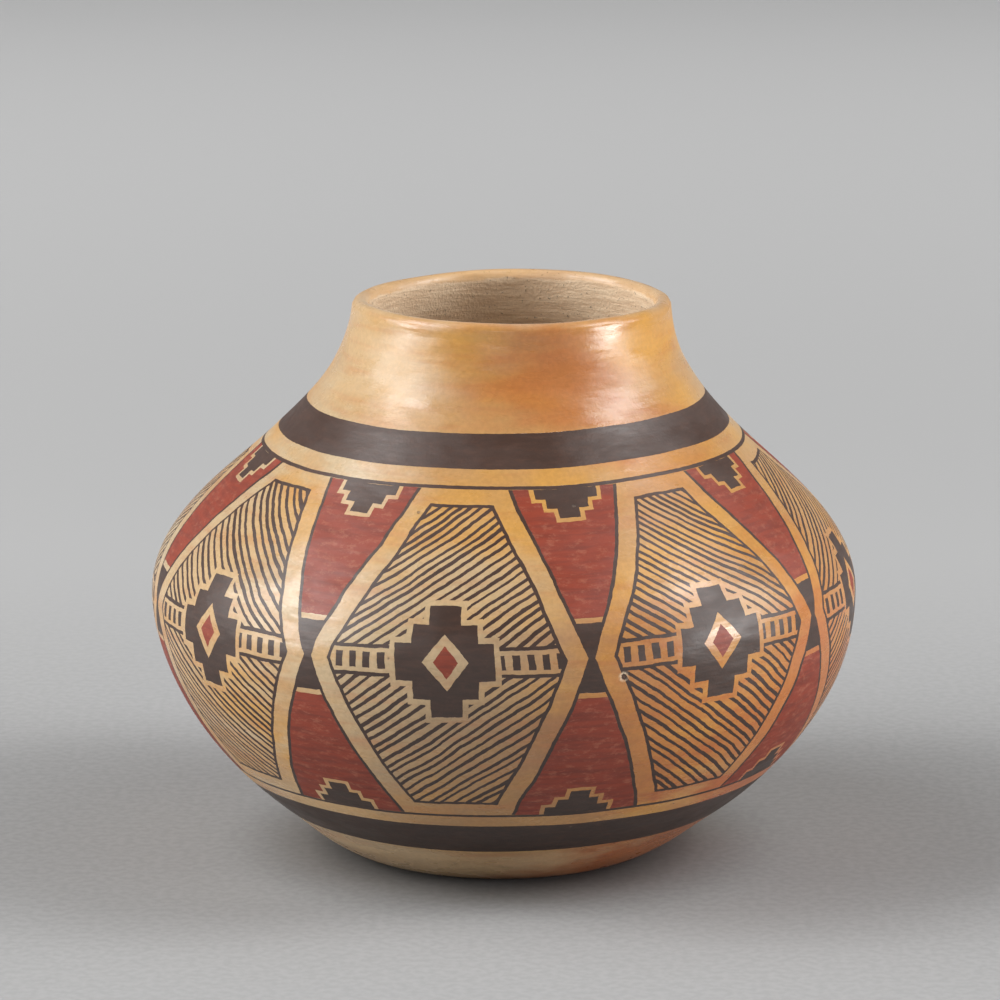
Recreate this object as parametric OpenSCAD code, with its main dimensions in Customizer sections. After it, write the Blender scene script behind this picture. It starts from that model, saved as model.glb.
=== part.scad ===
// Pueblo jar built by hand from coils of clay.
// A round pat makes the bottom, and eleven coils stacked on it make the wall. The top edge of each
// is bevelled, and the next coil laps over it on the inside. Every section is a ring turned about
// the jar's own axis, and the origin lies on that axis, on the surface that the jar stands on.

/* [Body] */
// Height of the jar over its lip
height = 142; // [128:1:165]
// Diameter of the belly at its widest
belly_d = 180; // [165:1:200]
// Height of the widest part above the ground
belly_z = 66.6; // [58:0.2:76]

/* [Bottom] */
// Diameter of the flat spot that the jar rests on
foot_d = 74; // [50:1:84]
// Slope of the bottom where it leaves the flat spot
foot_slope = 13; // [6:1:24]
// Diameter of the bottom that the dish moulded
dish_d = 113; // [100:1:124]
// Height of the edge of the moulded bottom
dish_z = 12; // [8:0.5:16]
// Slope of the moulded bottom at its edge
dish_slope = 39; // [34:1:48]
// Slope of the wall just above the moulded bottom
wall_slope = 35; // [28:1:46]

/* [Shoulder and neck] */
// Diameter where the shoulder turns into the neck
shoulder_d = 120; // [108:1:132]
// Height where the shoulder turns into the neck
shoulder_z = 106.8; // [98:0.2:114]
// Slope of the shoulder at that height
shoulder_slope = 44.5; // [36:0.5:54]
// Outer diameter of the rim just under its lip
rim_d = 80.6; // [64:0.2:96]
// Slope of the neck just under the lip
rim_slope = 84.5; // [70:0.5:90]

/* [Clay] */
// Thickness of the bottom
base_wall = 6; // [4:0.1:8]
// Thickness of the wall at the belly
belly_wall = 4.8; // [3.5:0.1:6.5]
// Thickness of the rounded lip
lip_wall = 4.2; // [3:0.1:6]
// Length of the lap, down the inside of the wall, between two coils
lap = 5; // [2:0.1:8]
// Swell of each coil between its joints, on the inside
inner_swell = 0.5; // [0:0.1:1]

/* [Hidden] */
LOWER_COILS = 3;
BELLY_COILS = 3;
SHOULDER_COILS = 3;
NECK_COILS = 1;
RIM_COILS = 1;
COILS = LOWER_COILS + BELLY_COILS + SHOULDER_COILS + NECK_COILS + RIM_COILS;

// Facets of each full turn, and steps of each curve, of a coil's height and of half the lip
$fn = 180;
CURVE_STEPS = 48;
COIL_STEPS = 7;
LIP_STEPS = 6;

// Length of a curve's handles, as a share of the straight distance between its ends
HANDLE = 1 / 3;
NECK_HANDLE = 0.45;

BARE_CLAY = [0.74, 0.60, 0.42];
DARK_PAINT = [0.20, 0.14, 0.12];
RED_SLIP = [0.55, 0.20, 0.13];
CREAM_SLIP = [0.83, 0.64, 0.38];
GOLD_SLIP = [0.86, 0.62, 0.31];

// Points of the outer profile where its curves join, as [radius, height]
lip_r = lip_wall / 2;
foot_edge = [foot_d / 2, 0];
dish_edge = [dish_d / 2, dish_z];
belly_point = [belly_d / 2, belly_z];
shoulder_point = [shoulder_d / 2, shoulder_z];
rim_edge = [rim_d / 2, height - lip_r + lip_r * cos(rim_slope)];

// Unit vectors along the rising wall, for a slope that leans out or in
function leaning_out(slope) = [cos(slope), sin(slope)];
function leaning_in(slope) = [-cos(slope), sin(slope)];

// One cubic curve from p to q, which leaves p along u and reaches q along v
function curve_point(p, u, v, q, t) =
    pow(1 - t, 3) * p + 3 * pow(1 - t, 2) * t * u + 3 * (1 - t) * t * t * v + pow(t, 3) * q;
function curve(p, u, q, v, start_handle = HANDLE, end_handle = HANDLE) =
    let (chord = norm(q - p))
    [for (i = [0 : CURVE_STEPS - 1])
        curve_point(p, p + start_handle * chord * u, q - end_handle * chord * v, q, i / CURVE_STEPS)];

// The outer profile, from the edge of the flat spot up to the lip
bottom_curve = curve(foot_edge, leaning_out(foot_slope), dish_edge, leaning_out(dish_slope));
wall_curve = concat(
    curve(dish_edge, leaning_out(wall_slope), belly_point, [0, 1]),
    curve(belly_point, [0, 1], shoulder_point, leaning_in(shoulder_slope)),
    curve(shoulder_point, leaning_in(shoulder_slope), rim_edge, leaning_in(rim_slope), NECK_HANDLE),
    [rim_edge]);
profile = concat(bottom_curve, wall_curve);

// Length along the profile up to each of its points, counted from the edge of the flat spot
function running_length(points, i = 0, total = 0) =
    i == len(points) ? []
    : let (here = total + (i == 0 ? 0 : norm(points[i] - points[i - 1])))
      concat([here], running_length(points, i + 1, here));
lengths = running_length(profile);
dish_s = lengths[len(bottom_curve)];
rim_s = lengths[len(profile) - 1];
coil_height = (rim_s - dish_s) / COILS;

// The outer surface at length s, and the direction of the profile there
function outer(s) =
    let (x = max(0, min(rim_s, s)))
    [lookup(x, [for (i = [0 : len(profile) - 1]) [lengths[i], profile[i][0]]]),
     lookup(x, [for (i = [0 : len(profile) - 1]) [lengths[i], profile[i][1]]])];
TANGENT_STEP = 0.6;
function direction(s) =
    let (d = outer(s + TANGENT_STEP) - outer(s - TANGENT_STEP))
    d / norm(d);

// Thickness of the wall at length s, with the swell of the coil that the inside shows there
belly_s = lengths[len(bottom_curve) + CURVE_STEPS];
function plain_wall(s) = lookup(s, [[0, base_wall], [belly_s, belly_wall], [rim_s, lip_wall]]);
function swell(s) =
    let (x = (s + lap - dish_s) / coil_height)
    x <= 0 || s >= rim_s - lap ? 0 : inner_swell * pow(sin(180 * (x - floor(x))), 2);
function inner(s) =
    let (d = direction(s))
    outer(s) + (plain_wall(s) + swell(s)) * [-d[1], d[0]];

// Edge of the jar's flat floor, where the inside of the bottom begins to rise
floor_edge = [foot_d / 2 - base_wall * tan(foot_slope / 2), base_wall];

// Length along the profile at which joint i meets the outside, counted from the pat's own joint
function joint_s(i) = dish_s + i * coil_height;

// Half round over the wall's end, from the outside over its highest point to the inside
lip_centre = [rim_edge[0] - lip_r * sin(rim_slope), height - lip_r];
function lip_points() =
    let (outward = 90 - rim_slope)
    [for (i = [0 : 2 * LIP_STEPS])
        let (a = lookup(i, [[0, outward], [LIP_STEPS, 90], [2 * LIP_STEPS, outward + 180]]))
        lip_centre + lip_r * [cos(a), sin(a)]];

// The outer face of coil i, upwards, and the inside between two lengths, downwards
function outer_face(i) =
    [for (k = [0 : COIL_STEPS]) outer(joint_s(i) + k * coil_height / COIL_STEPS)];
function inner_face(top_s, bottom_s) =
    [for (k = [0 : COIL_STEPS]) inner(top_s + k * (bottom_s - top_s) / COIL_STEPS)];
function all_but_last(points) = [for (k = [0 : len(points) - 2]) points[k]];
function all_but_first(points) = [for (k = [1 : len(points) - 1]) points[k]];

// Ring of one coil, whose joints meet the inside one lap further down than the outside
module coil_ring(i) {
    rotate_extrude()
        polygon(concat(outer_face(i), inner_face(joint_s(i + 1) - lap, joint_s(i) - lap)));
}

// Bottom, moulded in a dish, with a bevelled edge for the first coil
module base_pat() {
    underside = [for (k = [0 : COIL_STEPS]) outer(k * dish_s / COIL_STEPS)];
    inside = all_but_last(inner_face(dish_s - lap, 0));
    color(BARE_CLAY) rotate_extrude()
        polygon(concat([[0, 0]], underside, inside, [floor_edge, [0, base_wall]]));
}

// Wall that flares from the bottom to the belly
module lower_wall_coil(k) {
    color(k == 1 ? DARK_PAINT : RED_SLIP) coil_ring(k - 1);
}

// Wall round the widest part
module belly_coil(k) {
    color(CREAM_SLIP) coil_ring(LOWER_COILS + k - 1);
}

// Wall that draws in over the belly
module shoulder_coil(k) {
    color(k == SHOULDER_COILS ? DARK_PAINT : RED_SLIP)
        coil_ring(LOWER_COILS + BELLY_COILS + k - 1);
}

// Sweep from the shoulder into the upright neck
module neck_coil() {
    color(GOLD_SLIP) coil_ring(COILS - RIM_COILS - NECK_COILS);
}

// Top of the neck with the rounded lip
module rim_coil() {
    i = COILS - RIM_COILS;
    outside = all_but_last(outer_face(i));
    inside = all_but_first(inner_face(rim_s, joint_s(i) - lap));
    color(GOLD_SLIP) rotate_extrude() polygon(concat(outside, lip_points(), inside));
}

base_pat();
lower_wall_coil(1);  // lower_wall_coil_1
lower_wall_coil(2);  // lower_wall_coil_2
lower_wall_coil(3);  // lower_wall_coil_3
belly_coil(1);  // belly_coil_1
belly_coil(2);  // belly_coil_2
belly_coil(3);  // belly_coil_3
shoulder_coil(1);  // shoulder_coil_1
shoulder_coil(2);  // shoulder_coil_2
shoulder_coil(3);  // shoulder_coil_3
neck_coil();
rim_coil();
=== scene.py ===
import math

import bpy
import numpy as np
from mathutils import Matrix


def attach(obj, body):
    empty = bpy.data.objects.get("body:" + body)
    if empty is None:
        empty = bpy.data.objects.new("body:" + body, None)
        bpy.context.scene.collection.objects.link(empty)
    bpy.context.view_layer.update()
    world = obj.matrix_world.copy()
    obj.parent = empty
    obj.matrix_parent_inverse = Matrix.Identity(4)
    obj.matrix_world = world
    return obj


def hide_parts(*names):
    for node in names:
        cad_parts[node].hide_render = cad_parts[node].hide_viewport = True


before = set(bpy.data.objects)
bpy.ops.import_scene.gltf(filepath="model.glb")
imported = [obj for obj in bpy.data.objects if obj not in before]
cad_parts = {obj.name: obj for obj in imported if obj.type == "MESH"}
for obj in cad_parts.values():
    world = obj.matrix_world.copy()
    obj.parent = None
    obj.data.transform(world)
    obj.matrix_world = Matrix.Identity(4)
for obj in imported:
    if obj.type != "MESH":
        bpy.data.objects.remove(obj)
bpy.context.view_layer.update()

# The jar's sizes are in millimetres here, and its meshes are made in metres
MM = 0.001

# Profile of the jar
HEIGHT = 142.0
BELLY_R, BELLY_Z = 90.0, 66.6
FOOT_R, FOOT_SLOPE = 37.0, 13.0
DISH_R, DISH_Z, DISH_SLOPE = 56.5, 12.0, 39.0
WALL_SLOPE = 35.0
SHOULDER_R, SHOULDER_Z, SHOULDER_SLOPE = 60.0, 106.8, 44.5
RIM_R, RIM_SLOPE = 40.3, 84.5
NECK_HANDLE = 0.45
BASE_WALL, BELLY_WALL, LIP_WALL = 6.0, 4.8, 4.2
LAP = 5.0
INNER_SWELL = 0.5
COURSES = ["lower_wall_coil_1", "lower_wall_coil_2", "lower_wall_coil_3",
           "belly_coil_1", "belly_coil_2", "belly_coil_3",
           "shoulder_coil_1", "shoulder_coil_2", "shoulder_coil_3",
           "neck_coil", "rim_coil"]

# Mesh fineness: corners of a full turn, millimetres between rings, and rings across a joint
TURN = 320
RING_STEP = 1.2
JOINT_STEPS = 3

# Steps of each curve of the section, of the half round lip and of the inside
CURVE_STEPS = 200
LIP_STEPS = 40
INSIDE_STEPS = 900
# Half of the length in mm over which the outside's direction is taken
TANGENT_STEP = 0.6


# Section of the wall

def leaning(slope, inward=False):
    """Unit vector along the rising wall, for a slope in degrees."""
    a = math.radians(slope)
    return np.array([-math.cos(a) if inward else math.cos(a), math.sin(a)])


def curve(p, u, q, v, start_handle=1 / 3):
    """A cubic curve from p to q that leaves along u and arrives along v.

    A handle's length is a share of the straight distance from p to q, a third at the end.
    """
    p, q = np.array(p, float), np.array(q, float)
    chord = np.linalg.norm(q - p)
    a, b = p + start_handle * chord * u, q - chord / 3 * v
    t = np.linspace(0, 1, CURVE_STEPS, endpoint=False)[:, None]
    return (1 - t) ** 3 * p + 3 * (1 - t) ** 2 * t * a + 3 * (1 - t) * t * t * b + t ** 3 * q


def running_length(points):
    return np.concatenate([[0], np.cumsum(np.linalg.norm(np.diff(points, axis=0), axis=1))])


def columns(x, known_x, rows):
    """Both columns of rows, read at x between the places known_x."""
    return np.stack([np.interp(x, known_x, rows[:, k]) for k in (0, 1)], -1)


class Wall:
    """The jar's section as one path: the underside, the outside, the lip, the inside and the floor.

    Lengths along the path are in mm from the edge of the flat foot.
    """

    def __init__(self):
        lip_r = LIP_WALL / 2
        tilt = math.radians(RIM_SLOPE)
        up = np.array([0, 1])
        sweep, upright = leaning(SHOULDER_SLOPE, True), leaning(RIM_SLOPE, True)
        foot, dish = (FOOT_R, 0), (DISH_R, DISH_Z)
        belly, shoulder = (BELLY_R, BELLY_Z), (SHOULDER_R, SHOULDER_Z)
        rim = (RIM_R, HEIGHT - lip_r + lip_r * math.cos(tilt))
        bottom = curve(foot, leaning(FOOT_SLOPE), dish, leaning(DISH_SLOPE))
        rise = curve(dish, leaning(WALL_SLOPE), belly, up)
        draw_in = curve(belly, up, shoulder, sweep)
        neck = curve(shoulder, sweep, rim, upright, NECK_HANDLE)
        self.outside = np.concatenate([bottom, rise, draw_in, neck, [rim]])
        self.length = running_length(self.outside)
        self.dish = self.length[len(bottom)]
        self.belly = self.length[len(bottom) + len(rise)]
        self.rim = self.length[-1]
        self.coil = (self.rim - self.dish) / len(COURSES)
        angles = math.pi / 2 - tilt + np.linspace(0, math.pi, LIP_STEPS)
        lip_centre = np.array([RIM_R - lip_r * math.sin(tilt), HEIGHT - lip_r])
        lip = lip_centre + lip_r * np.stack([np.cos(angles), np.sin(angles)], 1)
        self.opposite = np.linspace(self.rim, 1, INSIDE_STEPS)
        floor_r = FOOT_R - BASE_WALL * math.tan(math.radians(FOOT_SLOPE) / 2)
        stretches = [[(0, 0)], self.outside, lip[1:-1], self.inside(self.opposite),
                     [(floor_r, BASE_WALL), (0, BASE_WALL)]]
        self.path = np.concatenate(stretches)
        self.run = running_length(self.path) - FOOT_R
        first = sum(len(s) for s in stretches[:3])
        self.opposite_run = self.run[first:first + len(self.opposite)]
        self.lip_top = self.rim + lip_r * math.pi / 2
        self.lip_end = self.opposite_run[0]
        self.end = self.run[-1]

    def inside(self, s):
        """Points of the inside, opposite length s of the outside."""
        ahead = columns(np.minimum(s + TANGENT_STEP, self.rim), self.length, self.outside)
        behind = columns(np.maximum(s - TANGENT_STEP, 0), self.length, self.outside)
        d = (ahead - behind) / np.linalg.norm(ahead - behind, axis=-1, keepdims=True)
        thick = np.interp(s, [0, self.belly, self.rim], [BASE_WALL, BELLY_WALL, LIP_WALL])
        coils = (s + LAP - self.dish) / self.coil
        is_coiled = (coils > 0) & (s < self.rim - LAP)
        thick = thick + INNER_SWELL * np.sin(math.pi * coils) ** 2 * is_coiled
        inward = np.stack([-d[..., 1], d[..., 0]], -1)
        return columns(s, self.length, self.outside) + thick[..., None] * inward

    def joint(self, i):
        """Where joint i meets the outside and the inside, as lengths along the path."""
        s = self.dish + i * self.coil
        return s, float(np.interp(-(s - LAP), -self.opposite, self.opposite_run))

    def at(self, run):
        """Points of the section at lengths along the path."""
        return columns(run, self.run, self.path)

    def is_pole(self, run):
        """Whether a ring there has shrunk to a point on the jar's axis."""
        return run <= self.run[0] or run >= self.end

    def at_height(self, z):
        """Length along the path at which the outside reaches height z."""
        return float(np.interp(z, self.outside[:, 1], self.length))


WALL = Wall()


# The unevenness of a jar built and scraped by hand

# How far in mm the jar's axis wanders to the right and to the back, at some heights
AXIS_Z = [0, 20, 45, 66.6, 90, 106, 125, 142]
AXIS_X = [-0.9, 0.1, 0.4, 0.0, 0.2, 0.7, 1.5, 2.0]
AXIS_Y = [0.0, 0.1, -0.3, 0.0, 0.3, 0.2, -0.3, -0.5]
# Lobes round the jar, depth in mm, place in degrees, and twist in degrees over the height
RIPPLES = [(2, 0.32, 20, 60), (3, 0.24, 75, -110), (5, 0.12, 10, 200), (7, 0.07, 130, -260)]
# Waves round the lip, height in mm and place in degrees
LIP_WAVES = [(2, 0.22, 40), (3, 0.16, 200), (7, 0.05, 90)]
# Height in mm over which the lobes grow from the flat foot, and share of the jar's height where
# the waves of the lip begin
LOBES_FULL_Z = 8
WAVES_START = 0.85


def smooth_between(x, xs, ys):
    """Eased steps through the points (xs, ys)."""
    i = np.clip(np.searchsorted(xs, x) - 1, 0, len(xs) - 2)
    xs, ys = np.array(xs, float), np.array(ys, float)
    t = np.clip((x - xs[i]) / (xs[i + 1] - xs[i]), 0, 1)
    return ys[i] + (ys[i + 1] - ys[i]) * t * t * (3 - 2 * t)


def handmade(theta, points):
    """Puts section points (radius, height) on the uneven jar, at angle theta from the front."""
    r, z = points[..., 0], points[..., 1]
    level = z / HEIGHT
    ripple = sum(depth * np.cos(lobes * theta + np.radians(place + twist * level))
                 for lobes, depth, place, twist in RIPPLES)
    r = r * (1 + np.clip(z / LOBES_FULL_Z, 0, 1) * ripple / BELLY_R)
    waves = sum(rise * np.cos(count * theta + math.radians(place)) for count, rise, place in LIP_WAVES)
    z = z + waves * np.clip((level - WAVES_START) / (1 - WAVES_START), 0, 1) ** 2
    x = smooth_between(z, AXIS_Z, AXIS_X) + r * np.sin(theta)
    y = smooth_between(z, AXIS_Z, AXIS_Y) - r * np.cos(theta)
    return np.stack([x, y, z], -1)


THETA = np.linspace(-math.pi, math.pi, TURN, endpoint=False)


def ring(run):
    """Points of the uneven jar all the way round, at one length along the wall."""
    return handmade(THETA, WALL.at(np.full(TURN, run)))


def ring_normals(run):
    """Outward normals from small steps round and along the wall, alike on both sides of a joint."""
    turn, step = 0.01, 0.5
    if WALL.is_pole(run):
        return np.tile([0, 0, -1.0 if run < 0 else 1.0], (TURN, 1))
    here = WALL.at(np.full(TURN, run))
    around = handmade(THETA + turn, here) - handmade(THETA - turn, here)
    ends = [min(max(run + side * step, WALL.run[0]), WALL.end) for side in (1, -1)]
    n = np.cross(around, ring(ends[0]) - ring(ends[1]))
    return n / np.linalg.norm(n, axis=1, keepdims=True)


# Meshes of the pieces

# Rows that the turn is cut into in a piece's UV map, so that it fills a square
BAKE_ROWS = 4
# Material index of a piece's own surface and of its joints
WALL_FACE, JOINT_FACE = 0, 1


def rings_along(start, stop):
    """Lengths from start to stop, about one ring's step apart."""
    return list(np.linspace(start, stop, max(2, int(round(abs(stop - start) / RING_STEP)) + 1)))


def add_wall(rings, start, stop):
    """Adds rings over a stretch of the wall's surface. A ring is its points, length and normals."""
    for run in rings_along(start, stop):
        rings.append((ring(run), run, ring_normals(run)))


def add_joint(rings, start, stop):
    """Adds the rings that lie between the two ends of a joint, straight across it."""
    for k in range(1, JOINT_STEPS):
        share = k / JOINT_STEPS
        rings.append((ring(start) * (1 - share) + ring(stop) * share,
                      start * (1 - share) + stop * share, None))


def face_normals(low, high):
    """One normal for each face between two rings."""
    n = np.cross(np.roll(low, -1, 0) - low, high - low)
    return n / np.maximum(np.linalg.norm(n, axis=1, keepdims=True), 1e-12)


def make_piece(name, rings, joints, closed):
    """One mesh through the rings. joints holds the indices of rings that a joint's faces start from."""
    points, first, runs = [], [], []
    for place, run, _ in rings:
        first.append(len(points))
        rows = place[:1] if WALL.is_pole(run) else place
        points.extend(rows * MM)
        runs.extend([run] * len(rows))
    bands = len(rings) if closed else len(rings) - 1
    faces, corner_normals, corner_uvs, kinds = [], [], [], []
    per_row = TURN // BAKE_ROWS
    for i in range(bands):
        k = (i + 1) % len(rings)
        low, high = rings[i], rings[k]
        is_joint = i in joints
        flat = face_normals(low[0], high[0]) if is_joint else None
        low_pole, high_pole = WALL.is_pole(low[1]), WALL.is_pole(high[1])
        for j in range(TURN):
            m = (j + 1) % TURN
            corners = [(first[i] + (0 if low_pole else j), 0, j),
                       (first[i] + (0 if low_pole else m), 0, m),
                       (first[k] + (0 if high_pole else m), 1, m),
                       (first[k] + (0 if high_pole else j), 1, j)]
            row, column = divmod(j, per_row)
            u = [column / per_row, (column + 1) / per_row]
            v = [(row * bands + i + side) / (BAKE_ROWS * bands) for side in (0, 1)]
            places = [(u[0], v[0]), (u[1], v[0]), (u[1], v[1]), (u[0], v[1])]
            dropped = 1 if low_pole else 2 if high_pole else None
            keep = [c for c in range(4) if c != dropped]
            faces.append([corners[c][0] for c in keep])
            for c in keep:
                side, angle = corners[c][1:]
                corner_normals.append(flat[j] if is_joint else (low, high)[side][2][angle])
                corner_uvs.extend(places[c])
            kinds.append(JOINT_FACE if is_joint else WALL_FACE)
    mesh = bpy.data.meshes.new(name)
    mesh.from_pydata(points, [], faces)
    bake_map = mesh.uv_layers.new(name="OFBake")
    bake_map.data.foreach_set("uv", np.array(corner_uvs, np.float32))
    wall_path = mesh.attributes.new("wall_path", "FLOAT", "POINT")
    wall_path.data.foreach_set("value", np.array(runs, np.float32))
    mesh.polygons.foreach_set("material_index", kinds)
    mesh.polygons.foreach_set("use_smooth", [True] * len(faces))
    mesh.normals_split_custom_set([tuple(n) for n in corner_normals])
    mesh.update()
    piece = bpy.data.objects.new(name, mesh)
    bpy.context.scene.collection.objects.link(piece)
    return piece


def make_course(i):
    """The ring of one coil, from the joint under it to the joint over it."""
    lower_out, lower_in = WALL.joint(i)
    rings, joints = [], set()
    if i == len(COURSES) - 1:
        add_wall(rings, lower_out, lower_in)
    else:
        upper_out, upper_in = WALL.joint(i + 1)
        add_wall(rings, lower_out, upper_out)
        start = len(rings) - 1
        add_joint(rings, upper_out, upper_in)
        joints.update(range(start, len(rings)))
        add_wall(rings, upper_in, lower_in)
    start = len(rings) - 1
    add_joint(rings, lower_in, lower_out)
    joints.update(range(start, len(rings)))
    return make_piece("visual_" + COURSES[i], rings, joints, closed=True)


def make_base():
    """The bottom, from the middle of its underside to the middle of the floor."""
    outer, inner = WALL.joint(0)
    rings, joints = [], set()
    add_wall(rings, WALL.run[0], outer)
    start = len(rings) - 1
    add_joint(rings, outer, inner)
    joints.update(range(start, len(rings)))
    add_wall(rings, inner, WALL.end)
    return make_piece("visual_base_pat", rings, joints, closed=False)


# Numbers that shader nodes work out at each point of a surface

class Value:
    """A node's output, with Python's operators standing for math nodes."""

    def __init__(self, tree, socket):
        self.tree = tree
        self.socket = socket

    def __abs__(self):
        return math_node(self.tree, "ABSOLUTE", self)

    def __add__(self, other):
        return math_node(self.tree, "ADD", self, other)

    def __radd__(self, other):
        return math_node(self.tree, "ADD", other, self)

    def __sub__(self, other):
        return math_node(self.tree, "SUBTRACT", self, other)

    def __rsub__(self, other):
        return math_node(self.tree, "SUBTRACT", other, self)

    def __mul__(self, other):
        return math_node(self.tree, "MULTIPLY", self, other)

    def __rmul__(self, other):
        return math_node(self.tree, "MULTIPLY", other, self)

    def __truediv__(self, other):
        return math_node(self.tree, "DIVIDE", self, other)

    def __rtruediv__(self, other):
        return math_node(self.tree, "DIVIDE", other, self)

    def __lt__(self, other):
        return math_node(self.tree, "LESS_THAN", self, other)

    def __gt__(self, other):
        return math_node(self.tree, "GREATER_THAN", self, other)


def plug(tree, x, slot):
    """Links x to a node's input, or sets the input where x is a plain number or colour."""
    if isinstance(x, Value):
        tree.links.new(x.socket, slot)
    else:
        slot.default_value = x


def math_node(tree, operation, *inputs):
    node = tree.nodes.new("ShaderNodeMath")
    node.operation = operation
    for x, slot in zip(inputs, node.inputs):
        plug(tree, x, slot)
    return Value(tree, node.outputs[0])


def floor(x):
    return math_node(x.tree, "FLOOR", x)


def fraction(x):
    return math_node(x.tree, "FRACT", x)


def root(x):
    return math_node(x.tree, "SQRT", x)


def lower_of(x, y):
    return math_node(x.tree, "MINIMUM", x, y)


def higher_of(x, y):
    return math_node(x.tree, "MAXIMUM", x, y)


def either(x, y):
    """The union of two masks."""
    return higher_of(x, y)


def without(x, y):
    """Mask x less mask y."""
    return x * (1 - y)


def within(x, low, high):
    """1 where x lies between low and high, else 0."""
    middle, half = (low + high) / 2, (high - low) / 2
    return math_node(x.tree, "COMPARE", x, middle, half)


def ease(x, low, high, out_low=0.0, out_high=1.0):
    """x mapped smoothly from low..high to out_low..out_high, and held beyond."""
    node = x.tree.nodes.new("ShaderNodeMapRange")
    node.interpolation_type = "SMOOTHSTEP"
    for value, key in ((x, "Value"), (low, "From Min"), (high, "From Max"),
                       (out_low, "To Min"), (out_high, "To Max")):
        plug(x.tree, value, node.inputs[key])
    return Value(x.tree, node.outputs["Result"])


def vector_of(tree, x, y, z):
    node = tree.nodes.new("ShaderNodeCombineXYZ")
    for value, slot in zip((x, y, z), node.inputs):
        plug(tree, value, slot)
    return Value(tree, node.outputs[0])


def noise(tree, vector, scale, detail=2.0, roughness=0.5, distortion=0.0):
    """Soft noise, about 0 to 1 round 0.5, with scale in lumps per unit of the vector."""
    node = tree.nodes.new("ShaderNodeTexNoise")
    plug(tree, vector, node.inputs["Vector"])
    for key, value in (("Scale", scale), ("Detail", detail), ("Roughness", roughness),
                       ("Distortion", distortion)):
        node.inputs[key].default_value = value
    return Value(tree, node.outputs["Factor" if "Factor" in node.outputs else "Fac"])


def dice(tree, x, y=0.0):
    """A random number from 0 to 1, the same wherever x and y are the same."""
    node = tree.nodes.new("ShaderNodeTexWhiteNoise")
    node.noise_dimensions = "2D"
    plug(tree, vector_of(tree, x, y, 0.0), node.inputs["Vector"])
    return Value(tree, node.outputs["Value"])


def blend(tree, share, first, second, mode="MIX"):
    """Colour first where share is 0 and second where it is 1."""
    node = tree.nodes.new("ShaderNodeMix")
    node.data_type = "RGBA"
    node.blend_type = mode
    plug(tree, share, node.inputs[0])
    for colour, slot in ((first, node.inputs[6]), (second, node.inputs[7])):
        plug(tree, colour if isinstance(colour, Value) else (*colour, 1.0), slot)
    return Value(tree, node.outputs[2])


def srgb(*levels):
    """A colour given as 0..255 screen levels, as the linear values that nodes take."""
    return tuple(((v / 255 + 0.055) / 1.055) ** 2.4 if v > 10 else v / 255 / 12.92 for v in levels)


class Place:
    """Where a point of the jar lies: x, y and z in mm, its angle from the front in radians, its
    radius, and its length along the wall."""

    def __init__(self, tree):
        self.tree = tree
        coordinates = tree.nodes.new("ShaderNodeTexCoord")
        scaled = tree.nodes.new("ShaderNodeVectorMath")
        scaled.operation = "SCALE"
        scaled.inputs["Scale"].default_value = 1 / MM
        tree.links.new(coordinates.outputs["Object"], scaled.inputs[0])
        self.point = Value(tree, scaled.outputs[0])
        split = tree.nodes.new("ShaderNodeSeparateXYZ")
        tree.links.new(scaled.outputs[0], split.inputs[0])
        self.x, self.y, self.z = (Value(tree, split.outputs[k]) for k in range(3))
        self.angle = math_node(tree, "ARCTAN2", self.x, 0 - self.y)
        self.radius = root(self.x * self.x + self.y * self.y)
        attribute = tree.nodes.new("ShaderNodeAttribute")
        attribute.attribute_name = "wall_path"
        self.run = Value(tree, attribute.outputs["Fac"])

    def stretched(self, around, up, shift=0.0):
        """The point with its level and upright measures scaled, which draws noise out into streaks.

        shift moves it to another part of the same noise.
        """
        return vector_of(self.tree, self.x * around + shift, self.y * around, self.z * up)

    def distance(self, angle, height, radius):
        """Distance in mm from a point of the wall, given by its angle in degrees, height and radius."""
        a = math.radians(angle)
        node = self.tree.nodes.new("ShaderNodeVectorMath")
        node.operation = "DISTANCE"
        self.tree.links.new(self.point.socket, node.inputs[0])
        node.inputs[1].default_value = (radius * math.sin(a), -radius * math.cos(a), height)
        return Value(self.tree, node.outputs["Value"])


# Painted design

# Panels round the jar, angle of the first one's middle in degrees, and how far the bands rise
# to the right, as a slope
PANELS = 8
FIRST_PANEL = -9.0
BAND_TILT = 0.018
# Heights in mm of both edges of each dark band and of each thin line that frames the frieze
LOWER_BAND = (13.7, 23.3)
UPPER_BAND = (109.6, 117.0)
LOWER_LINE = (26.5, 27.2)
UPPER_LINE = (105.4, 106.1)
# Each panel is a lozenge with its top and bottom cut off by the frame lines. Its slope is set by where
# its sides would meet, in half heights of the frieze. All widths and lengths are in mm, and the slope
# of the hatch is in degrees.
LOZENGE_REACH = 1.95
LINE = 0.9
STRIP = 4.5
HATCH_PITCH = 2.15
HATCH_LINE = 0.85
HATCH_SLOPE = 36
PANEL_SHIFT = 0.7
STAIR_TREAD, STAIR_RISE, STAIR_STEPS = 4.0, 4.6, 3
STAIR_RIM = 1.4
EYE, PUPIL = (5.6, 6.9), (3.1, 4.0)
LADDER_HALF, LADDER_GAP, RUNG_PITCH = 2.9, 1.0, 3.6
CLOUD_TREAD, CLOUD_RISE, CLOUD_STEPS = 2.5, 2.9, 3
CLOUD_RIM = 1.1
TIP, TIP_RIM = 8.5, 1.3
# How far a hatch line strays, as a share of the pitch, and how much its width changes, as a share of it
LINE_SWAY, LINE_CHANGE = 0.3, 0.25


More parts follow.
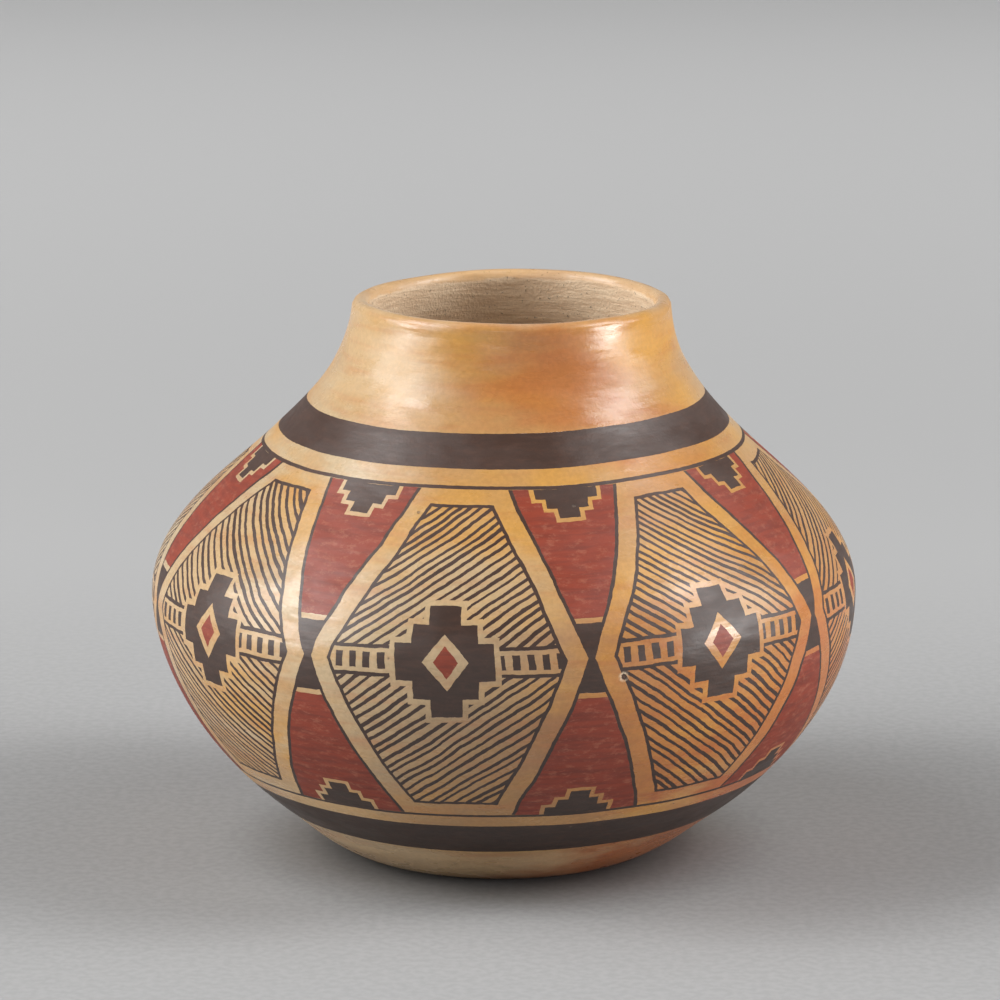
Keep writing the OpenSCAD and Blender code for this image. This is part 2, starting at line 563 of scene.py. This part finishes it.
def stripes(x, pitch, width, steepness):
    """1 on parallel lines across x. steepness is how fast x grows per mm, so the width stays true."""
    lane = x / pitch
    number = floor(lane)
    sway = (dice(x.tree, number, 3.0) - 0.5) * LINE_SWAY
    off = abs(fraction(lane) - 0.5 + sway) * pitch / steepness
    brush = width / 2 * (1 - LINE_CHANGE + 2 * LINE_CHANGE * dice(x.tree, number, 8.0))
    return off < brush


def stairs(x, y, tread, rise, steps, margin=0.0):
    """1 inside a corner of stairs that margin widens: treads along x, rises along y."""
    across, up = higher_of(x - margin, 0.0), higher_of(y - margin, 0.0)
    return floor(across / tread) + floor(up / rise) < steps - 0.5


def lozenge(x, y, halves):
    """1 inside a lozenge, given by half its width and half its height."""
    return x / halves[0] + y / halves[1] < 1.0


def paint(place):
    """Masks of the dark paint and of the red slip, 0 or 1."""
    tree = place.tree
    drift = noise(tree, place.point, 0.045, 1.0) - 0.5
    drift_up = noise(tree, place.stretched(1.0, 1.0, 300.0), 0.03, 1.0) - 0.5
    wobble = noise(tree, place.point, 0.15, 1.0) - 0.5
    wobble_up = noise(tree, place.stretched(1.0, 1.0, 160.0), 0.15, 1.0) - 0.5
    edge = noise(tree, place.point, 0.6, 2.0) - 0.5
    edge_up = noise(tree, place.stretched(1.0, 1.0, 90.0), 0.6, 2.0) - 0.5
    band_run = place.run - place.x * BAND_TILT + drift_up * 1.5 + edge_up * 0.25
    run = band_run + wobble_up * 0.8 + edge_up * 0.15
    sideways = drift * 2.6 + wobble * 0.8 + edge * 0.4

    # Where the point lies in its panel, as shares from the middle and as millimetres
    low, high = WALL.at_height(LOWER_LINE[1]), WALL.at_height(UPPER_LINE[0])
    half = (high - low) / 2
    panel_angle = 2 * math.pi / PANELS
    turn = (place.angle + sideways / place.radius - math.radians(FIRST_PANEL)) / panel_angle
    panel = floor(turn + 0.5)
    across = (turn - panel) * 2
    panel = panel - floor(panel / PANELS) * PANELS
    up = (run - (low + high) / 2) / half
    side, level = abs(across), abs(up)
    x, y = across * (BELLY_R * panel_angle / 2), up * half
    panel_half = place.radius * (panel_angle / 2)
    from_neighbour, from_frame = (1 - side) * panel_half, (1 - level) * half

    # Millimetres outside the panel's edge
    steepness = root(1 / (panel_half * panel_half) + 1 / (LOZENGE_REACH * half) ** 2)
    beyond_side = (side + level / LOZENGE_REACH - 1) / steepness
    beyond = higher_of(beyond_side, LINE * -1 - from_frame)
    outline = within(beyond_side, -LINE, 0.0) * (level < 1)
    inner_line = within(beyond, -LINE - STRIP - LINE, -LINE - STRIP)
    inside = beyond < -LINE - STRIP - LINE

    # Slanting hatch, which falls to the right in every second panel
    odd = fraction(panel / 2) * 2
    lean = math.radians(HATCH_SLOPE)
    narrowing = BELLY_R / place.radius * math.sin(lean)
    hatch_steepness = root(narrowing * narrowing + math.cos(lean) ** 2)
    slant = (odd * 2 - 1) * x * math.sin(lean) + y * math.cos(lean) + panel * PANEL_SHIFT
    hatch = stripes(slant, HATCH_PITCH, HATCH_LINE, hatch_steepness)

    # A ladder across the panel, and a stepped lozenge on its middle
    rail_gap = LADDER_HALF - LADDER_GAP
    ladder = inside * (abs(y) < LADDER_HALF + LINE)
    rails = abs(y) > LADDER_HALF
    rungs = (abs(y) < rail_gap) * (fraction(x / RUNG_PITCH + 0.5) < 0.5)
    stair = stairs(abs(x), abs(y), STAIR_TREAD, STAIR_RISE, STAIR_STEPS)
    stair_and_rim = stairs(abs(x), abs(y), STAIR_TREAD, STAIR_RISE, STAIR_STEPS, STAIR_RIM)
    field = either(without(hatch, ladder), ladder * either(rails, rungs))
    field = either(without(field, stair_and_rim), without(stair, lozenge(abs(x), abs(y), EYE)))
    dark = either(either(outline, inner_line), field * inside)
    red = inside * lozenge(abs(x), abs(y), PUPIL)

    # Red corners between the panels, with a dark tip and a stepped cloud on each frame line
    corner = (beyond_side > 0) * (level < 1)
    tip = corner * (level * half < TIP)
    tip_and_rim = corner * (level * half < TIP + TIP_RIM)
    cloud = corner * stairs(from_neighbour, from_frame, CLOUD_TREAD, CLOUD_RISE, CLOUD_STEPS)
    cloud_and_rim = stairs(from_neighbour, from_frame, CLOUD_TREAD, CLOUD_RISE, CLOUD_STEPS, CLOUD_RIM)
    dark = either(dark, either(tip, cloud))
    red = either(red, without(without(corner, tip_and_rim), cloud_and_rim))

    for lower, upper in (LOWER_BAND, UPPER_BAND, LOWER_LINE, UPPER_LINE):
        dark = either(dark, within(band_run, WALL.at_height(lower), WALL.at_height(upper)))
    return dark, red


# Patches of colour from the firing: angle in degrees, height, radius and reach in mm, strength
CREAM_PATCHES = [(-14, 70, 90, 56, 0.95), (-62, 84, 82, 60, 0.75), (-62, 126, 45, 44, 0.7),
                 (-40, 20, 66, 40, 0.6), (160, 40, 80, 60, 0.7), (-110, 60, 88, 70, 0.5),
                 (100, 112, 56, 40, 0.5)]
RUST_PATCHES = [(17, 128, 42, 30, 0.7), (62, 48, 84, 60, 0.8), (20, 50, 88, 42, 0.55),
                (-150, 80, 88, 70, 0.6), (130, 100, 66, 50, 0.5), (44, 108, 58, 26, 0.3),
                (62, 10, 54, 46, 0.9), (24, 0, 40, 30, 0.35), (42, 5, 50, 38, 0.6)]
SMOKE_PATCHES = [(0, 38, 84, 52, 0.5), (46, 6, 52, 34, 0.35), (-168, 30, 78, 46, 0.4)]
GOLD = srgb(198, 150, 94)
YELLOW = srgb(211, 155, 76)
CREAM = srgb(204, 178, 140)
RUST = srgb(186, 104, 56)
SMOKE = srgb(142, 106, 74)
PALE = srgb(212, 187, 152)
DARK = srgb(54, 39, 32)
DARK_THIN = srgb(80, 54, 42)
RED = srgb(148, 57, 32)
RED_DEEP = srgb(112, 43, 27)
RED_WORN = srgb(186, 116, 88)
CLAY = srgb(236, 210, 177)
CLAY_DARK = srgb(212, 181, 147)
CORE = srgb(112, 94, 80)
# Width in mm of a cell of the net that holds the pits
PIT_NET = 9
# A chip in the slip: angle in degrees, height and size in mm
CHIP_ANGLE, CHIP_HEIGHT, CHIP_R = 18.5, 65.0, 0.7


def bump(tree, height, distance, normal=None):
    """A normal tilted by a height from 0 to 1 that stands for distance, in metres."""
    node = tree.nodes.new("ShaderNodeBump")
    node.inputs["Strength"].default_value = 1.0
    node.inputs["Distance"].default_value = distance
    tree.links.new(height.socket, node.inputs["Height"])
    if normal is not None:
        tree.links.new(normal.socket, node.inputs["Normal"])
    return Value(tree, node.outputs["Normal"])


def new_material(name):
    """A node material, its tree and its shader."""
    material = bpy.data.materials.new(name)
    material.use_nodes = True
    tree = material.node_tree
    return material, tree, tree.nodes["Principled BSDF"]


def patches(place, places, wisps):
    """How strongly a set of coloured patches covers each point, with wispy edges."""
    cover = 0.0
    for angle, height, radius, reach, strength in places:
        off = place.distance(angle, height, radius) + (wisps - 0.5) * reach * 1.5
        cover = cover + ease(off, reach, reach * 0.15, 0.0, strength)
    return lower_of(cover, 1.0)


def slip_colour(place):
    """Burnished slip, gold to cream, with the rust of the firing, and paler under the lower band."""
    tree = place.tree
    wisps = noise(tree, place.stretched(0.3, 1.0, 40.0), 0.09, 4.0, 0.65)
    streaks = noise(tree, place.stretched(0.12, 1.0, 15.0), 0.35, 3.0, 0.6)
    grain = noise(tree, place.point, 0.9, 3.0, 0.6)
    under = WALL.at_height(LOWER_BAND[0])
    clouds = noise(tree, place.stretched(0.7, 1.0, 210.0), 0.05, 2.0, 0.5)
    colour = blend(tree, ease(clouds, 0.36, 0.6), GOLD, YELLOW)
    colour = blend(tree, patches(place, CREAM_PATCHES, wisps), colour, CREAM)
    colour = blend(tree, ease(place.run, under + 3, under - 4, 0.0, 0.7), colour, PALE)
    colour = blend(tree, patches(place, RUST_PATCHES, wisps), colour, RUST)
    colour = blend(tree, patches(place, SMOKE_PATCHES, wisps), colour, SMOKE)
    colour = blend(tree, ease(streaks, 0.45, 0.8, 0.0, 0.35), colour, RUST)
    mottle = ease(grain, 0.3, 0.75, 0.92, 1.05)
    return blend(tree, 1.0, colour, vector_of(tree, mottle, mottle, mottle), "MULTIPLY")


def scattered_pits(place):
    """Small round pits, one in some of the cells of a net: 1 in a pit, 0 outside."""
    tree = place.tree
    net = tree.nodes.new("ShaderNodeTexVoronoi")
    net.inputs["Scale"].default_value = 1 / PIT_NET
    tree.links.new(place.point.socket, net.inputs["Vector"])
    split = tree.nodes.new("ShaderNodeSeparateColor")
    tree.links.new(net.outputs["Color"], split.inputs[0])
    pick, size = Value(tree, split.outputs[0]), Value(tree, split.outputs[1])
    off = Value(tree, net.outputs["Distance"])
    return ease(off, 0.02 + 0.04 * size, 0.015 + 0.02 * size) * (pick > 0.55)


def around_chip(place):
    """Distance in mm along the wall from the middle of the one chip in the slip."""
    across = (place.angle - math.radians(CHIP_ANGLE)) * place.radius
    up = place.z - CHIP_HEIGHT
    return root(across * across + up * up)


def painted_clay():
    """Slip and paint outside and over the lip, and bare wiped clay inside."""
    material, tree, shader = new_material("painted_clay")
    place = Place(tree)
    dark, red = paint(place)

    streaks = noise(tree, place.stretched(0.12, 1.1), 0.8, 3.0, 0.6)
    scuffs = noise(tree, place.stretched(0.4, 0.9, 70.0), 0.8, 4.0, 0.75)
    worn = ease(scuffs, 0.5, 0.68)
    redness = ease(streaks, 0.3, 0.65) * 0.6 + ease(place.z, 20.0, 90.0, 0.0, 0.4)
    red_colour = blend(tree, redness, RED_DEEP, RED)
    red_colour = blend(tree, worn * 0.35, red_colour, RED_WORN)
    thinness = ease(streaks, 0.4, 0.8, 0.0, 0.4) + ease(scuffs, 0.45, 0.7, 0.0, 0.4)
    thinness = thinness + ease(place.z, 30.0, 110.0, 0.0, 0.5)
    dark_colour = blend(tree, thinness, DARK, DARK_THIN)
    colour = slip_colour(place)
    colour = blend(tree, red, colour, red_colour)
    colour = blend(tree, dark, colour, dark_colour)
    pits = scattered_pits(place)
    colour = blend(tree, pits * 0.6, colour, CORE)
    crumbs = noise(tree, place.point, 1.1, 2.0)
    off_chip = around_chip(place) + (crumbs - 0.5) * 1.2
    chip = ease(off_chip, CHIP_R * 1.1, CHIP_R * 0.7)
    chip_edge = ease(off_chip, CHIP_R * 2.2, CHIP_R * 1.4) * ease(crumbs, 0.42, 0.6, 0.15, 0.9)
    colour = blend(tree, chip_edge, colour, CLAY)
    colour = blend(tree, chip, colour, DARK_THIN)

    ragged = noise(tree, place.point, 0.12, 3.0, 0.6)
    slip_run = place.run + (ragged - 0.5) * 3.0
    thin = ease(slip_run, WALL.lip_top - 3.0, WALL.lip_top + 1.0, 0.0, 0.5)
    bare = ease(slip_run, WALL.lip_end - 1.5, WALL.lip_end + 0.3)
    wipes = noise(tree, place.stretched(0.1, 1.0), 0.9, 4.0, 0.7)
    specks = noise(tree, place.point, 1.3, 2.0, 0.5)
    clay = blend(tree, ease(wipes, 0.3, 0.7), CLAY_DARK, CLAY)
    clay = blend(tree, ease(specks, 0.66, 0.72, 0.0, 0.7), clay, CORE)
    colour = blend(tree, either(thin, bare), colour, clay)
    tree.links.new(colour.socket, shader.inputs["Base Color"])

    polish = noise(tree, place.stretched(0.35, 1.0), 0.16, 3.0, 0.65)
    rough = ease(polish, 0.32, 0.68, 0.22, 0.38)
    rough = rough + dark * 0.16 + without(red, dark) * 0.24
    rough = rough + bare * 0.4
    tree.links.new(rough.socket, shader.inputs["Roughness"])

    facets = noise(tree, place.stretched(0.4, 1.0), 0.09, 2.0, 0.5)
    strokes = noise(tree, place.stretched(0.45, 1.0, 55.0), 0.24, 2.0, 0.55)
    ripples = noise(tree, place.stretched(0.1, 1.0, 20.0), 1.2, 2.0, 0.5)
    grain = noise(tree, place.point, 1.6, 2.0, 0.5)
    normal = bump(tree, facets, 0.001)
    smooth_height = strokes * 0.2 + ripples * 0.04 + grain * 0.03 - dark * 0.02
    smooth_height = smooth_height - pits * 0.25 - chip * 0.4
    rough_height = wipes * 0.3 + grain * 0.12 + specks * 0.12
    height = smooth_height * (1 - bare) + rough_height * bare
    normal = bump(tree, height, 0.001, normal)
    tree.links.new(normal.socket, shader.inputs["Normal"])
    shader.inputs["Specular IOR Level"].default_value = 0.65
    return material


def joint_clay():
    """The clay of the wall's core, grey where the firing didn't reach, with the potter's scoring."""
    material, tree, shader = new_material("joint_clay")
    place = Place(tree)
    clouds = noise(tree, place.point, 0.3, 3.0, 0.6)
    scores = noise(tree, place.stretched(0.1, 1.0), 0.9, 2.0, 0.5)
    colour = blend(tree, ease(clouds, 0.3, 0.7), CORE, CLAY)
    tree.links.new(colour.socket, shader.inputs["Base Color"])
    tree.links.new(ease(clouds, 0.2, 0.8, 0.75, 0.92).socket, shader.inputs["Roughness"])
    normal = bump(tree, scores, 0.0006)
    tree.links.new(normal.socket, shader.inputs["Normal"])
    return material


# The jar

WALL_MATERIAL = painted_clay()
JOINT_MATERIAL = joint_clay()


def dress(piece, node):
    """Gives a piece its materials, attaches it to the root body and hides the CAD node it stands for.
    """
    piece.data.materials.append(WALL_MATERIAL)
    piece.data.materials.append(JOINT_MATERIAL)
    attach(piece, "root")
    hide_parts(node)


dress(make_base(), "base_pat")
for number, course in enumerate(COURSES):
    dress(make_course(number), course)


# Floor and backdrop

# A round set: the radius of its flat floor and of its bend, and the height of its wall, in metres
SET_R, BEND_R, SET_TOP = 4.0, 0.7, 1.8
SET_TURN, BEND_STEPS = 96, 24
# Shades of the paper round the jar, behind it, far behind it, under the side lamps and on the wall,
# and the painted contact shadow under the jar with how much of it is laid on
PAPER_DARK, PAPER_LIGHT = srgb(162, 162, 162), srgb(176, 176, 176)
PAPER_BACK, PAPER_FAR = srgb(183, 183, 183), srgb(221, 221, 221)
PAPER_SIDE, PAPER_WALL = srgb(122, 122, 122), srgb(228, 228, 228)
# Colour and share of the painted shadow under the jar's foot
PAINTED_SHADOW_UNDER, PAINTED_SHADOW_SHARE = srgb(40, 36, 33), 0.7
# Distances in metres between which each of these shades comes in: along y, along x, and from the axis
BACK_FADE, FAR_FADE = (0.05, 0.35), (0.35, 1.7)
SIDE_FADE = (0.5, 1.6)
WALL_FADE, PAINTED_SHADOW_FADE = (SET_R - 1.0, SET_R + BEND_R), (0.078, 0.034)


def paper():
    """Grey paper, paler where less light falls and darker under the lamps, with a painted shadow under
    the jar itself.
    """
    material, tree, shader = new_material("paper")
    coordinates = tree.nodes.new("ShaderNodeTexCoord")
    point = Value(tree, coordinates.outputs["Object"])
    split = tree.nodes.new("ShaderNodeSeparateXYZ")
    tree.links.new(point.socket, split.inputs[0])
    x, y = Value(tree, split.outputs[0]), Value(tree, split.outputs[1])
    side, back, off = abs(x), abs(y), root(x * x + y * y)
    mix = noise(tree, point, 2.0, 2.0) * 0.4 + ease(noise(tree, point, 450.0, 2.0), 0.3, 0.7) * 0.6
    colour = blend(tree, mix, PAPER_DARK, PAPER_LIGHT)
    colour = blend(tree, ease(back, *BACK_FADE), colour, PAPER_BACK)
    colour = blend(tree, ease(back, *FAR_FADE), colour, PAPER_FAR)
    colour = blend(tree, ease(side, *SIDE_FADE), colour, PAPER_SIDE)
    colour = blend(tree, ease(off, *WALL_FADE), colour, PAPER_WALL)
    # Painted contact shadow: the paper is darkened under the jar's foot
    colour = blend(tree, ease(off, *PAINTED_SHADOW_FADE, 0.0, PAINTED_SHADOW_SHARE), colour, PAINTED_SHADOW_UNDER)
    tree.links.new(colour.socket, shader.inputs["Base Color"])
    shader.inputs["Roughness"].default_value = 0.9
    shader.inputs["Specular IOR Level"].default_value = 0.1
    return material


def make_sweep():
    """A round floor under the jar, bent up to a low wall all round it."""
    bend = [math.pi / 2 * k / BEND_STEPS for k in range(BEND_STEPS + 1)]
    section = [(SET_R + BEND_R * math.sin(a), BEND_R * (1 - math.cos(a))) for a in bend]
    section.append((SET_R + BEND_R, SET_TOP))
    turns = [2 * math.pi * k / SET_TURN for k in range(SET_TURN)]
    points = [(0, 0, 0)] + [(r * math.cos(a), r * math.sin(a), z) for r, z in section for a in turns]
    faces = []
    for j in range(SET_TURN):
        m = (j + 1) % SET_TURN
        faces.append((0, 1 + j, 1 + m))
        for k in range(len(section) - 1):
            low, high = 1 + k * SET_TURN, 1 + (k + 1) * SET_TURN
            faces.append((low + j, high + j, high + m, low + m))
    mesh = bpy.data.meshes.new("sweep")
    mesh.from_pydata(points, [], faces)
    mesh.polygons.foreach_set("use_smooth", [True] * len(faces))
    mesh.update()
    mesh.materials.append(paper())
    sheet = bpy.data.objects.new("sweep", mesh)
    bpy.context.scene.collection.objects.link(sheet)


make_sweep()


# Light

# The point that every lamp faces, in metres
AIM = np.array([0, 0, 0.07])


def softbox(name, azimuth, elevation, distance, width, height, watts):
    """An area lamp: degrees to the right of the front and up, then distance and size in metres."""
    a, e = math.radians(azimuth), math.radians(elevation)
    lamp = bpy.data.lights.new(name, "AREA")
    lamp.shape = "RECTANGLE"
    lamp.size, lamp.size_y = width, height
    lamp.energy = watts
    holder = bpy.data.objects.new(name, lamp)
    bpy.context.scene.collection.objects.link(holder)
    away = np.array([math.sin(a) * math.cos(e), -math.cos(a) * math.cos(e), math.sin(e)])
    holder.location = AIM + distance * away
    holder.rotation_euler = (math.pi / 2 - e, 0, a)
    holder.visible_camera = False


softbox("left_front_softbox", -62, 25, 2.6, 0.7, 1.6, 14)
softbox("left_low_softbox", -79, 9, 2.6, 0.8, 0.6, 17)
softbox("left_softbox", -79, 39, 2.6, 1.0, 1.0, 29)
softbox("left_side_softbox", -95, 20, 2.6, 0.8, 0.9, 11)
softbox("left_high_softbox", -100, 54, 2.6, 1.1, 1.1, 11)
softbox("right_low_softbox", 74, 6, 2.6, 0.8, 0.5, 29)
softbox("right_softbox", 80, 39, 2.6, 1.0, 1.0, 27)
softbox("right_side_softbox", 92, 20, 2.6, 0.8, 0.9, 13)
softbox("right_high_softbox", 100, 54, 2.6, 1.1, 1.1, 6)
softbox("front_fill", -12, 10, 3.6, 0.8, 0.6, 4)

world = bpy.data.worlds.new("studio")
world.use_nodes = True
sky = world.node_tree.nodes["Background"]
sky.inputs["Color"].default_value = (1, 1, 1, 1)
sky.inputs["Strength"].default_value = 0.13
bpy.context.scene.world = world


# Camera, at the photograph's angle, for a picture 1000 pixels square. Places are in metres.

CAMERA_DISTANCE, CAMERA_HEIGHT, CAMERA_PITCH = 1.220, 0.3619, 12.6
CAMERA_SIDE = -0.001
FOCAL_PIXELS, PICTURE_PIXELS, SENSOR = 4910.0, 1000.0, 36.0

lens = bpy.data.cameras.new("camera")
lens.sensor_width = SENSOR
lens.lens = FOCAL_PIXELS / PICTURE_PIXELS * SENSOR
lens.clip_start, lens.clip_end = 0.05, 20
camera = bpy.data.objects.new("camera", lens)
camera.location = (CAMERA_SIDE, -CAMERA_DISTANCE, CAMERA_HEIGHT)
camera.rotation_euler = (math.radians(90 - CAMERA_PITCH), 0, 0)
bpy.context.scene.collection.objects.link(camera)
bpy.context.scene.camera = camera
bpy.context.scene.view_settings.view_transform = "Standard"

bpy.context.view_layer.update()
